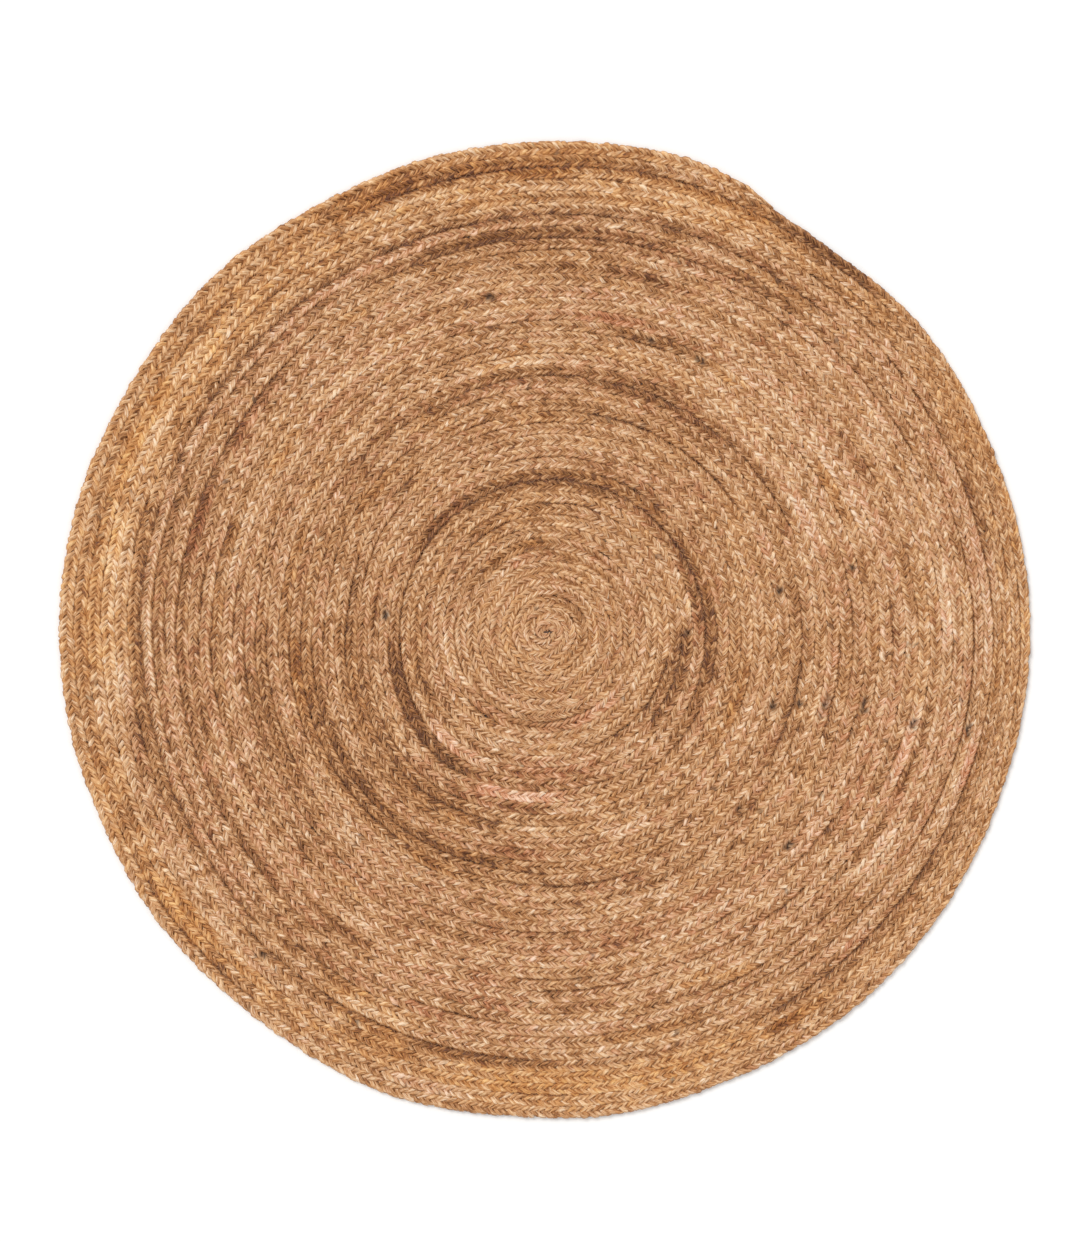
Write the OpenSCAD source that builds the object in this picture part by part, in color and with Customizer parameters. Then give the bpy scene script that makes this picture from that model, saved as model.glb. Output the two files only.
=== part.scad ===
// Round rug of one long flat jute plait, laid flat in a spiral and sewn turn to turn.
// The plait starts at the middle and winds outwards clockwise, seen from above.
// Every turn is two half rings whose ends meet on one line through the middle, the lay line.

/* [Plait] */
// Pitch of the turns: width of the flattened plait and the seam beside it
braid_w = 14.3; // [10:0.1:25]
// Thickness of the flattened plait
braid_t = 9; // [7:0.5:16]
// Bevel on each long edge of the plait, which forms the grooves between turns
edge_bevel = 2.6; // [1.5:0.1:3.2]
// Open width of the seam between two turns
seam_gap = 0.4; // [0.2:0.05:1]

/* [Coil] */
// Whole turns before the last half turn that carries the tail
full_turns = 41; // [12:1:60]
// Number of lengths of plait spliced end to end, of equal length
spliced_lengths = 14; // [4:1:24]
// Direction of the lay line in plan, in degrees
lay_angle = -15; // [-180:1:180]
// Furthest that a turn sits off centre along the lay line
drift = 16; // [0:1:30]

/* [Tail] */
// Direction of the very end of the plait in plan, in degrees
tail_angle = 62; // [40:1:120]
// Length over which the tail narrows
tail_taper = 170; // [80:5:300]
// Width of the flat top of the plait at its cut end
tail_flat = 2; // [0.5:0.1:6]

/* [Sewing] */
// Number of runs of sewing, each with the thread that one bobbin holds
seam_runs = 3; // [1:1:6]
// Diameter of the sewing thread that lies in each groove
thread_d = 1.2; // [0.6:0.1:2]
// Clearance between a thread and the plait beside it
thread_fit = 0.05; // [0.02:0.01:0.2]
// Number of tack stitches across the tail, on each face
tack_count = 4; // [2:1:8]
// Distance between tack stitches along the tail
tack_pitch = 22; // [8:1:40]
// Length of a tack stitch across the seam
tack_len = 11; // [8:0.5:16]
// Diameter of the tack thread
tack_d = 1.4; // [0.8:0.1:2]
// Depth of the tack thread below the face of the plait
tack_sink = 0.15; // [0.1:0.05:0.5]

/* [Hidden] */
$fn = 96;
JUTE = ["#b08a58", "#8a6238", "#a47c4a", "#6e4a28", "#9c7444", "#c2a06c"];
TAIL_JUTE = "#c69a54";
THREAD = "#b89a6a";

// Half turns are numbered from -1, the tip at the middle, to last_half; the tail is the one after.
first_half = -1;
last_half = 2 * full_turns;
tail_half = last_half + 1;
half_count = last_half - first_half + 1;
coil_r = (last_half + 2) * braid_w / 2;

// The off-centre shift grows from nothing at the middle, is greatest at about three quarters of
// the radius, and fades to nothing at the rim.
drift_power = 2.4;
function shift(r) = drift * sin(180 * pow(min(r / coil_r, 1), drift_power));

// Crossings keep to a fine grid, so that centres and radii are short numbers and the arcs on
// both sides of the lay line end on exactly the same points.
grid = 0.002;
function on_grid(x) = round(x / grid) * grid;

// Where the outer edge crosses the lay line at the start of half turn k: + side for even k.
function crossing(k) =
    let (r = (k + 1) * braid_w / 2)
    on_grid((k % 2 == 0 ? r : -r) + shift(r));
function centre(k) = (crossing(k) + crossing(k + 1)) / 2;
function radius(k) = abs(crossing(k + 1) - crossing(k)) / 2;

// Half turns from start on, shared out in n lengths: a turn's length grows with its radius, so
// lengths end at square roots.
function shares(start, halves, n) = [for (i = [0:n]) start + round(halves * sqrt(i / n))];
splice_at = shares(first_half, half_count, spliced_lengths);

// The last seam, on the outer edge of seam_half, ends with the tail.
seam_half = tail_half - 2;
run_at = shares(0, seam_half + 1, seam_runs);

// Where the taper begins and ends, measured from the lay line.
tail_end_a = tail_angle - lay_angle;
tail_full_a = tail_end_a + tail_taper / radius(tail_half) * 180 / PI;
// The taper is an arc that touches the tail's outer edge where it begins, and is tighter.
tail_end_w = tail_flat + 2 * edge_bevel + seam_gap;
taper_r = on_grid(1 / (1 / radius(tail_half) + 2 * (braid_w - tail_end_w) / pow(tail_taper, 2)));
taper_a = tail_taper / taper_r * 180 / PI;

// Reach of the coil in four directions, which centres the rug on the frame.
function reach(k, a) = centre(k) * cos(a - lay_angle) + radius(k);
shift_x = (reach(last_half, 180) - reach(seam_half, 0)) / 2;
shift_y = (reach(last_half, 270) - reach(tail_half, 90)) / 2;

// Height of the needle thread's centre where it rests on both bevels of a groove.
groove_z = braid_t - edge_bevel - seam_gap / 2 + (thread_d / 2 + thread_fit) * sqrt(2);

function length_name(n) = str("braid_length_", n < 10 ? "0" : "", n);
function needle_name(n) = str("needle_thread_", n);
function bobbin_name(n) = str("bobbin_thread_", n);

// Places its children in the frame, with X along the lay line.
module on_lay_line() {
    translate([shift_x, shift_y, 0])
        rotate([0, 0, lay_angle])
            children();
}

// Turns its child's section clockwise about half turn k's centre, from where the half turn starts:
// below the lay line for even k, above it for odd k.
module sweep(k, angle = 180) {
    translate([centre(k), 0, 0])
        mirror(k % 2 == 0 ? [0, 1, 0] : [1, 0, 0])
            rotate_extrude(angle = angle)
                children();
}

// Half section of a disc of plait whose rim has both bevels.
module disc_section(r) {
    polygon([
        [0, 0],
        [r - edge_bevel, 0],
        [r, edge_bevel],
        [r, braid_t - edge_bevel],
        [r - edge_bevel, braid_t],
        [0, braid_t]
    ]);
}

// What the turn inside takes away, with the seam's gap and the bevels of the inner edge.
module inner_turn(k) {
    r = radius(k) + seam_gap;
    over = 1;
    translate([centre(k), 0, 0])
        rotate_extrude()
            polygon([
                [0, -over],
                [r + edge_bevel + over, -over],
                [r, edge_bevel],
                [r, braid_t - edge_bevel],
                [r + edge_bevel + over, braid_t + over],
                [0, braid_t + over]
            ]);
}

module half_turn(k) {
    difference() {
        sweep(k)
            disc_section(radius(k));
        if (k > 0) inner_turn(k - 2);
    }
}

// Stitches that hold the tail: children are placed once for each, with X across the seam.
module at_tacks() {
    step = tack_pitch / radius(seam_half) * 180 / PI;
    first = tail_end_a + tail_taper / 2 / radius(seam_half) * 180 / PI;
    for (n = [0:tack_count - 1])
        translate([centre(seam_half), 0, 0])
            rotate([0, 0, first + n * step])
                translate([radius(seam_half) + seam_gap / 2, 0, 0])
                    children();
}

// Height of a tack thread's centre: high for the upper face, low for the lower one.
function tack_z(upper) = upper ? braid_t - tack_sink - tack_d / 2 : tack_sink + tack_d / 2;

module tack_slots() {
    wide = tack_d + 2 * thread_fit;
    long = tack_len + 2 * thread_fit;
    deep = tack_sink + tack_d + thread_fit;
    at_tacks()
        for (z = [-deep, braid_t - deep])
            translate([-long / 2, -wide / 2, z])
                cube([long, wide, 2 * deep]);
}

module braid_length(n) {
    color(JUTE[(n - 1) % len(JUTE)])
        on_lay_line()
            difference() {
                for (k = [splice_at[n - 1]:splice_at[n] - 1])
                    half_turn(k);
                if (n == spliced_lengths) tack_slots();
            }
}

// The tail keeps its full width as far as the taper, and then narrows to its cut end. Both stretches
// start from the same plane, where the taper's tighter arc touches the full width's outer edge.
module tail_end() {
    color(TAIL_JUTE)
        on_lay_line()
            difference() {
                from_taper() {
                    full_width_sector();
                    taper_sector();
                }
                inner_turn(seam_half);
                tack_slots();
            }
}

// Places its children with their X axis on the line where the taper begins.
module from_taper() {
    translate([centre(tail_half), 0, 0])
        mirror([1, 0, 0])
            rotate([0, 0, 180 - tail_full_a])
                children();
}

module full_width_sector() {
    mirror([0, 1, 0])
        rotate_extrude(angle = 180 - tail_full_a)
            disc_section(radius(tail_half));
}

module taper_sector() {
    translate([radius(tail_half) - taper_r, 0, 0])
        rotate_extrude(angle = taper_a)
            disc_section(taper_r);
}

// Run n of the sewing, along the seams outside its half turns; the last stops where the tail does.
module seam_thread(n, z) {
    color(THREAD)
        on_lay_line()
            translate([0, 0, z])
                for (k = [run_at[n - 1]:run_at[n] - 1])
                    sweep(k, k == seam_half ? 180 - tail_end_a : 180)
                        translate([radius(k) + seam_gap / 2, 0])
                            circle(d = thread_d);
}

module needle_thread(n) {
    seam_thread(n, groove_z);
}

module bobbin_thread(n) {
    seam_thread(n, braid_t - groove_z);
}

module tail_tack() {
    color(THREAD)
        on_lay_line()
            at_tacks()
                for (upper = [true, false])
                    translate([-tack_len / 2, 0, tack_z(upper)])
                        rotate([0, 90, 0])
                            cylinder(d = tack_d, h = tack_len);
}

for (n = [1:spliced_lengths])
    braid_length(n);
tail_end();
tail_tack();
for (n = [1:seam_runs]) {
    needle_thread(n);
    bobbin_thread(n);
}
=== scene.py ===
"""Round area rug: one long five-strand jute plait, coiled flat and zigzag-sewn turn to turn.

Lengths are in millimetres until a mesh is finished, and in metres in the scene. The plait is built
straight, one period of each strand by extrusion and the rest by an array, and is then wound onto
the same spiral as the CAD solids.
"""

import logging
import math
from dataclasses import dataclass, field
from enum import Enum

import bmesh
import bpy
import numpy as np
from mathutils import Matrix, Vector


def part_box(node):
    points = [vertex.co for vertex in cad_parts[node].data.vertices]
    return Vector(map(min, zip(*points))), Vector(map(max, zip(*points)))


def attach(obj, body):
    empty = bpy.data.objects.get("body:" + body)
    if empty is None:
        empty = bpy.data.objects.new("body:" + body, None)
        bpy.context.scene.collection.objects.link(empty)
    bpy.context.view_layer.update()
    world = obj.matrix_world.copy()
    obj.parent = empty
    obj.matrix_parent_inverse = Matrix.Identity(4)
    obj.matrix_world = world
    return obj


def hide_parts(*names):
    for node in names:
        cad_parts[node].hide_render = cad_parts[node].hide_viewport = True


LOG = logging.getLogger("rug")
MM = 0.001

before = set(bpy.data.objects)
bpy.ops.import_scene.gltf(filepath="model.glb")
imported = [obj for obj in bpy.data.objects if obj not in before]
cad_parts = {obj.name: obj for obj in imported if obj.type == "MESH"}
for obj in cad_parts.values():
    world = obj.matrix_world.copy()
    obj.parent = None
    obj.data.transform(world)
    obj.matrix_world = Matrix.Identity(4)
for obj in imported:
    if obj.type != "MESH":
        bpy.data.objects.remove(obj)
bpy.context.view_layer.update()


# ------------------------------------------------------------------ helpers


def linear(hex_colour: str) -> tuple[float, float, float, float]:
    """Turns an sRGB hex colour to the linear colour that shaders take.

    Args:
        hex_colour: a colour such as "#c8a070".

    Returns:
        Linear red, green, blue and an alpha of 1.
    """
    parts = [int(hex_colour[i : i + 2], 16) / 255 for i in (1, 3, 5)]
    curve = [c / 12.92 if c <= 0.04045 else ((c + 0.055) / 1.055) ** 2.4 for c in parts]
    return (curve[0], curve[1], curve[2], 1.0)


def wave_noise(x: np.ndarray, seed: int) -> np.ndarray:
    """Smooth random values from -1 to 1 that change once for each unit of x.

    Args:
        x: where to read the noise.
        seed: picks the row of random values.

    Returns:
        An array of the same shape as x.
    """
    cells = 4096
    knots = np.random.default_rng(seed).uniform(-1, 1, cells)
    low = np.floor(x).astype(int)
    part = x - low
    ease = part * part * (3 - 2 * part)
    return knots[low % cells] * (1 - ease) + knots[(low + 1) % cells] * ease


@dataclass(frozen=True)
class Waver:
    """A random unevenness along the plait, or along one strand of it.

    Attributes:
        size: the most that it adds or takes away.
        pace: how often it changes in each unit of what it runs along.
        seed: tells it from the other wavers of the same strand.
    """

    size: float
    pace: float
    seed: int

    def along(self, x: np.ndarray, seed: int = 0) -> np.ndarray:
        """Its values at distances or counts x, for the strand that has a seed of its own."""
        return self.size * wave_noise(x * self.pace, self.seed + seed)


def node_with(tree: bpy.types.NodeTree, kind: str, settings: dict, links: dict) -> bpy.types.Node:
    """Adds one shader node, with its settings and what feeds it.

    Args:
        tree: the material's node tree.
        kind: the node's type, without "ShaderNode".
        settings: values for the node's attributes, or for its inputs by name or number.
        links: output sockets, by the name or number of the input they feed.

    Returns:
        The new node.
    """
    node = tree.nodes.new("ShaderNode" + kind)
    for name, value in settings.items():
        if isinstance(name, int) or name in node.inputs:
            node.inputs[name].default_value = value
        else:
            setattr(node, name, value)
    for name, source in links.items():
        tree.links.new(source, node.inputs[name])
    return node


# ------------------------------------------------------------------ the spiral


@dataclass
class Push:
    """One stretch where the turns wander in or out, because they were sewn by eye.

    Attributes:
        angle: its direction in plan, in degrees.
        radius: how far out it is greatest.
        shift: how far it moves a turn, outwards if positive.
        spread: its reach round the rug, in degrees.
        depth: its reach across the turns.
    """

    angle: float
    radius: float
    shift: float
    spread: float
    depth: float


@dataclass
class Coil:
    """The path of the plait, the same two-centre spiral that the CAD solids follow.

    Attributes:
        braid_w: the pitch of the turns: the plait's width and the seam beside it.
        seam_gap: the width of a seam.
        full_turns: whole turns before the last half turn, which carries the tail.
        lengths: how many lengths of plait are spliced end to end.
        lay_angle: the direction in plan of the line on which half turns meet, in degrees.
        drift: the furthest that a turn sits off centre along that line.
        drift_power: how far out the drift stays small.
        tail_angle: the direction in plan of the plait's outer end, in degrees.
        tail_taper: the length over which the tail narrows.
        tail_end_w: the tail's width at its end.
        seam_runs: how many runs the sewing is made in.
        step: the spacing of the points that the path is worked out at.
        waver: how far the turns waver in or out between the pushes.
        firm: how near the middle and the rim the wavering fades.
        ripple_lift: how high the soft waves of the cloth are.
        ripples: wave lengths along x and y, start and strength of each soft wave.
        pushes: where the turns wander further.
    """

    braid_w: float = 14.3
    seam_gap: float = 0.4
    full_turns: int = 41
    lengths: int = 14
    lay_angle: float = -15
    drift: float = 16
    drift_power: float = 2.4
    tail_angle: float = 62
    tail_taper: float = 170
    tail_end_w: float = 7.6
    seam_runs: int = 3
    step: float = 1.5
    waver: float = 1.6
    firm: float = 60
    ripple_lift: float = 0.9
    ripples: tuple[tuple[float, float, float, float], ...] = (
        (71, 133, 0.4, 1),
        (-190, 83, 2.1, 1),
        (155, 155, 4.0, 1),
        (47, -47, 1.0, 0.6),
    )
    pushes: list[Push] = field(
        default_factory=lambda: [
            Push(352, 480, 9, 26, 95),
            Push(228, 245, 9, 26, 80),
            Push(172, 235, -6, 22, 80),
            Push(128, 470, 3, 12, 60),
            Push(95, 330, 3, 20, 60),
            Push(300, 430, -5, 20, 70),
            Push(38, 400, -4, 16, 90),
            Push(200, 520, -3, 30, 60),
            Push(38, 600, 4, 9, 60),
            Push(53, 600, -4, 8, 60),
            Push(75, 600, 5, 11, 60),
            Push(117, 600, -5, 10, 60),
            Push(150, 600, -4.5, 14, 60),
            Push(205, 600, -3.5, 10, 60),
            Push(230, 600, -4, 12, 60),
            Push(252, 600, 4, 9, 60),
            Push(278, 600, 4, 9, 60),
            Push(312, 600, 3, 14, 60),
            Push(345, 600, -2, 12, 60),
        ]
    )

    def __post_init__(self) -> None:
        """Reads the thickness from the frame, and lays out the spiral round the rug's middle."""
        low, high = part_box("braid_length_01")
        self.thick = (high[2] - low[2]) / MM
        self.last_half = 2 * self.full_turns
        self.tail_half = self.last_half + 1
        self.coil_r = (self.last_half + 2) * self.braid_w / 2
        turn = math.radians(self.lay_angle)
        self.across = (math.cos(turn), math.sin(turn))
        self.middle = (
            (self.reach(self.last_half, 180) - self.reach(self.tail_half - 2, 0)) / 2,
            (self.reach(self.last_half, 270) - self.reach(self.tail_half, 90)) / 2,
        )
        self.lay_out()

    def crossing(self, k: int) -> float:
        """Where the outer edge of half turn k starts, along the lay line."""
        r = (k + 1) * self.braid_w / 2
        off = self.drift * math.sin(math.pi * min(max(r, 0) / self.coil_r, 1) ** self.drift_power)
        return (r if k % 2 == 0 else -r) + off

    def centre(self, k: int) -> float:
        """Where the centre of half turn k lies on the lay line."""
        return (self.crossing(k) + self.crossing(k + 1)) / 2

    def radius(self, k: int) -> float:
        """The outer radius of half turn k."""
        return abs(self.crossing(k + 1) - self.crossing(k)) / 2

    def reach(self, k: int, angle: float) -> float:
        """How far half turn k reaches from the spiral's own middle in a direction."""
        return self.centre(k) * math.cos(math.radians(angle - self.lay_angle)) + self.radius(k)

    def half_turn(self, k: int, sweep: np.ndarray) -> tuple[np.ndarray, np.ndarray, np.ndarray]:
        """The two edges of half turn k, seen from its centre.

        Args:
            k: the half turn's number, from -1 at the middle.
            sweep: how far round it, from 0 to 1.

        Returns:
            The directions from its centre, the inner radii and the outer radii.
        """
        turn = np.pi * sweep
        angle = -turn if k % 2 == 0 else np.pi - turn
        outer = np.full_like(sweep, self.radius(k))
        if k < 0:
            inner = np.zeros_like(sweep)
        elif k == 0:
            start = self.crossing(0) / 2 - self.centre(0)
            end = self.centre(0) - self.crossing(-1) + self.seam_gap
            inner = start + (end - start) * sweep
        else:
            inside = self.radius(k - 2) + self.seam_gap
            along = self.centre(k - 2) - self.centre(k)
            inner = along * np.cos(angle) + np.sqrt(inside**2 - (along * np.sin(angle)) ** 2)
        return angle, inner, outer

    def lay_out(self) -> None:
        """Works out the plait's middle line: place, width, outward normal and half-turn number."""
        fewest = 24
        rows = []
        for k in range(-1, self.tail_half + 1):
            count = max(fewest, int(np.pi * self.radius(k) / self.step))
            sweep = np.arange(count) / count
            angle, inner, outer = self.half_turn(k, sweep)
            if k == self.tail_half:
                end = math.radians(self.tail_angle - self.lay_angle)
                taper = self.tail_taper / self.radius(k)
                part = np.clip((end + taper - angle) / taper, 0, 1)
                outer = outer - (self.braid_w - self.tail_end_w) * part**2
                keep = angle > end
                angle, inner, outer, sweep = angle[keep], inner[keep], outer[keep], sweep[keep]
            mid = (inner + outer) / 2
            nx, ny = np.cos(angle), np.sin(angle)
            x, y = self.centre(k) + mid * nx, mid * ny
            rows.append(np.stack([x, y, outer - inner, nx, ny, k + 1 + sweep], 1))
        self.table = np.concatenate(rows)
        steps = np.hypot(np.diff(self.table[:, 0]), np.diff(self.table[:, 1]))
        self.distance = np.concatenate([[0], np.cumsum(steps)])
        self.total = float(self.distance[-1])

    def tail_stop(self) -> float:
        """The half-turn number at which the tail ends, on the turn inside it."""
        return self.last_half + (180 - self.tail_angle + self.lay_angle) / 180

    def at(self, s: np.ndarray) -> tuple[np.ndarray, ...]:
        """Place, width, outward normal and half-turn number at distances along the plait."""
        return tuple(np.interp(s, self.distance, column) for column in self.table.T)

    def distance_at_half(self, half: float) -> float:
        """How far along the plait a half-turn number lies."""
        return float(np.interp(half, self.table[:, 5], self.distance))

    def to_frame(self, x: np.ndarray, y: np.ndarray) -> tuple[np.ndarray, np.ndarray]:
        """Takes places on the lay line's axes to the rug's frame, and lets them wander."""
        c, s = self.across
        fx = x * c - y * s
        fy = x * s + y * c
        r = np.hypot(fx, fy)
        a = np.degrees(np.arctan2(fy, fx))
        out = np.zeros_like(r)
        for push in self.pushes:
            round_it = (a - push.angle + 180) % 360 - 180
            bell = np.exp(-((round_it / push.spread) ** 2) - ((r - push.radius) / push.depth) ** 2)
            out += push.shift * bell
        rim = np.clip((self.coil_r - r) / self.firm, 0, 1)
        near = np.clip(r / self.firm, 0, 1)
        out += self.waver * wave_noise(a / 24 + r / 90, 5) * rim * near
        scale = 1 + out / np.maximum(r, 1)
        return fx * scale + self.middle[0], fy * scale + self.middle[1]

    def wind(self, s: np.ndarray, y: np.ndarray, z: np.ndarray) -> np.ndarray:
        """Takes points beside a straight plait to the coiled one.

        Args:
            s: distances along the plait.
            y: distances from its middle line, outwards if positive.
            z: heights above the floor.

        Returns:
            The places in the rug's frame, in metres, one row for each point.
        """
        x0, y0, _, nx, ny, _ = self.at(s)
        fx, fy = self.to_frame(x0 + nx * y, y0 + ny * y)
        return np.stack([fx, fy, z + self.ripple(fx, fy)], 1) * MM

    def ripple(self, x: np.ndarray, y: np.ndarray) -> np.ndarray:
        """How far the sewn cloth lifts off the floor, in soft waves."""
        waves = sum(size * np.sin(x / lx + y / ly + start) for lx, ly, start, size in self.ripples)
        most = sum(size for *_, size in self.ripples)
        return self.ripple_lift * np.clip(waves / most + 0.45, 0, 1.2)


# ------------------------------------------------------------------ the jute's colours


@dataclass
class ShadeArc:
    """A stretch of plait whose jute is darker, paler or warmer than the rest.

    Attributes:
        turn: how many turns out from the middle it lies.
        start: where it starts, as a direction in plan in degrees.
        end: where it ends, going anticlockwise.
        tone: how much paler it is, or darker if negative.
        warm: how much more golden it is, or rosier if negative.
        width: how many turns it covers.
    """

    turn: float
    start: float
    end: float
    tone: float
    warm: float = 0.0
    width: float = 1.0

    def weight(self, turn: np.ndarray, plan: np.ndarray, seam: float) -> np.ndarray:
        """How strongly it shows at places; it follows the turns as they wind outwards.

        A stretch that is narrower than half a turn keeps to the nearest seam, and is crisper. A
        wider one keeps to the middle of the nearest turn.

        Args:
            turn: how many turns out each place is.
            plan: its direction in degrees.
            seam: the part of a turn at which seams cross the direction 0.

        Returns:
            The strengths, from 0 to 1.
        """
        span = (self.end - self.start) % 360
        middle = self.start + span / 2
        off = (plan - middle + 180) % 360 - 180
        soft = min(10.0, span / 3)
        fade = np.clip((span / 2 - np.abs(off)) / soft + 0.5, 0, 1)
        seams = seam - middle / 360
        if self.width < 0.5:
            at, sharp = round(self.turn - seams) + seams, 8
        else:
            at, sharp = round(self.turn - seams - 0.5) + seams + 0.5, 5
        near = np.clip((self.width / 2 - np.abs(turn + off / 360 - at)) * sharp + 0.5, 0, 1)
        return fade * near


# The stretches of darker, paler and warmer jute that mark this rug, roughly from the middle out.
CHOSEN_ARCS = [
    ShadeArc(3, 340, 120, -0.14, -0.075),
    ShadeArc(7.8, 122, 150, -0.19, 0.05, 0.8),
    ShadeArc(9.8, 235, 275, 0.14, 0.05, 1.4),
    ShadeArc(10.8, 185, 360, -0.24, -0.05, 0.8),
    ShadeArc(11.3, 160, 215, -0.21, 0.05, 1.5),
    ShadeArc(11.9, 318, 362, -0.5, 0, 0.9),
    ShadeArc(12.3, 0, 125, -0.31, 0, 0.9),
    ShadeArc(13.5, 330, 150, -0.31, 0),
    ShadeArc(13.3, 184, 240, -0.53, 0.1, 1.1),
    ShadeArc(13.6, 240, 275, -0.28, 0, 0.9),
    ShadeArc(15.2, 162, 186, -0.5, 0, 0.7),
    ShadeArc(17.2, 178, 245, -0.25, 0.12, 2.4),
    ShadeArc(17, 60, 120, -0.15, 0, 0.8),
    ShadeArc(19.4, 55, 120, -0.2, 0, 0.9),
    ShadeArc(20.7, 98, 122, 0.12, 0.25, 1.4),
    ShadeArc(20, 200, 270, -0.22, 0.1, 1.2),
    ShadeArc(21.6, 185, 255, -0.26, 0.1, 2.6),
    ShadeArc(21.8, 46, 78, -0.31, 0, 0.7),
    ShadeArc(22.4, 28, 150, -0.32, 0, 0.8),
    ShadeArc(23, 268, 302, -0.22, 0, 0.8),
    ShadeArc(25, 176, 216, -0.24, 0.05, 0.8),
    ShadeArc(26, 18, 60, 0.15, -0.05, 6),
    ShadeArc(26.6, 186, 222, -0.19, 0.15, 1.6),
    ShadeArc(27.6, 118, 165, 0.12, 0, 4),
    ShadeArc(26.8, 56, 80, -0.22, -0.15, 0.7),
    ShadeArc(29, 290, 345, 0.062, -0.1, 4),
    ShadeArc(28.6, 205, 240, -0.2, 0.1, 1.2),
    ShadeArc(31.8, 70, 98, -0.21, 0.05, 2),
    ShadeArc(32.6, 148, 226, -0.31, 0.05, 0.7),
    ShadeArc(33.4, 80, 114, -0.2, 0.05, 1.6),
    ShadeArc(34.5, 72, 112, -0.26, 0.05, 0.8),
    ShadeArc(34, 150, 240, -0.2, 0.05, 0.7),
    ShadeArc(33.5, 226, 242, -0.25, 0.15, 5),
    ShadeArc(35.4, 328, 360, 0.17, -0.23, 0.8),
    ShadeArc(36.5, 52, 216, -0.27, 0.05, 0.7),
    ShadeArc(37.2, 225, 268, -0.21, 0.05, 0.8),
    ShadeArc(37, 268, 320, -0.21, 0, 0.9),
    ShadeArc(36.6, 330, 30, 0.17, -0.23, 0.8),
    ShadeArc(35.8, 100, 185, 0.15, 0, 0.8),
    ShadeArc(37.6, 0, 45, 0.19, -0.23, 0.7),
    ShadeArc(38.3, 300, 345, -0.22, 0, 1.2),
    ShadeArc(38.8, 60, 190, 0.11, 0.26, 3.4),
    ShadeArc(36.6, 238, 250, 0.062, 0.45, 3),
    ShadeArc(38.4, 258, 300, 0.11, 0.45, 1.6),
    ShadeArc(40.6, 78, 118, -0.34, 0.25, 1.5),
    ShadeArc(40, 55, 78, -0.19, 0.15, 0.8),
    ShadeArc(41.1, 46, 66, -0.43, 0.05),
    ShadeArc(41.2, 105, 118, -0.37, 0.05, 0.7),
    ShadeArc(39.8, 258, 292, 0.16, 0.25, 2.2),
    ShadeArc(40.2, 196, 232, 0.037, 0.15, 2.4),
]

# Seams that stand open and show as a dark line of painted shade, where the plait is also thinner,
# by turn and direction.
OPEN_SEAMS = [
    ShadeArc(12.0, 318, 362, -1.0, 0.0, 0.4),
    ShadeArc(12.9, 330, 120, -0.7, 0.0, 0.3),
    ShadeArc(13.6, 20, 150, -0.9, 0.0, 0.35),
    ShadeArc(13.4, 184, 240, -1.0, 0.0, 0.45),
    ShadeArc(11.0, 290, 350, -0.9, 0.0, 0.35),
    ShadeArc(22.4, 28, 130, -0.9, 0.0, 0.35),
    ShadeArc(21.5, 180, 230, -0.7, 0.0, 0.35),
    ShadeArc(25.0, 176, 216, -0.8, 0.0, 0.3),
    ShadeArc(32.7, 130, 230, -0.9, 0.0, 0.35),
    ShadeArc(34.6, 60, 120, -0.8, 0.0, 0.3),
    ShadeArc(36.4, 50, 225, -1.0, 0.0, 0.4),
    ShadeArc(35.2, 120, 240, -0.7, 0.0, 0.3),
    ShadeArc(37.2, 225, 268, -0.8, 0.0, 0.35),
    ShadeArc(38.0, 300, 350, -1.0, 0.0, 0.4),
    ShadeArc(37.0, 0, 45, -0.9, 0.0, 0.35),
    ShadeArc(35.5, 330, 30, -0.8, 0.0, 0.3),
    ShadeArc(3.2, 300, 110, -0.8, 0.0, 0.3),
    ShadeArc(40.6, 45, 115, -0.8, 0.0, 0.3),
]

# Knots of dark bark in the jute: turn, direction and reach in degrees.
BARK = [
    (20.4, 342, 2.4),
    (22.4, 344, 1.6),
    (23.7, 346, 3.0),
    (24.4, 343, 1.6),
    (26.6, 347, 2.6),
    (31.0, 346, 1.4),
    (35.8, 347, 1.8),
    (21.7, 317, 1.4),
    (19.6, 11, 2.0),
    (25.9, 13, 1.2),
    (29.6, 102, 1.4),
    (27.0, 73, 1.6),
    (27.2, 63, 1.8),
    (12.2, 0, 2.4),
    (26.9, 318, 2.0),
    (37.5, 228, 1.2),
    (14.9, 174, 3.4),
]


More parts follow.
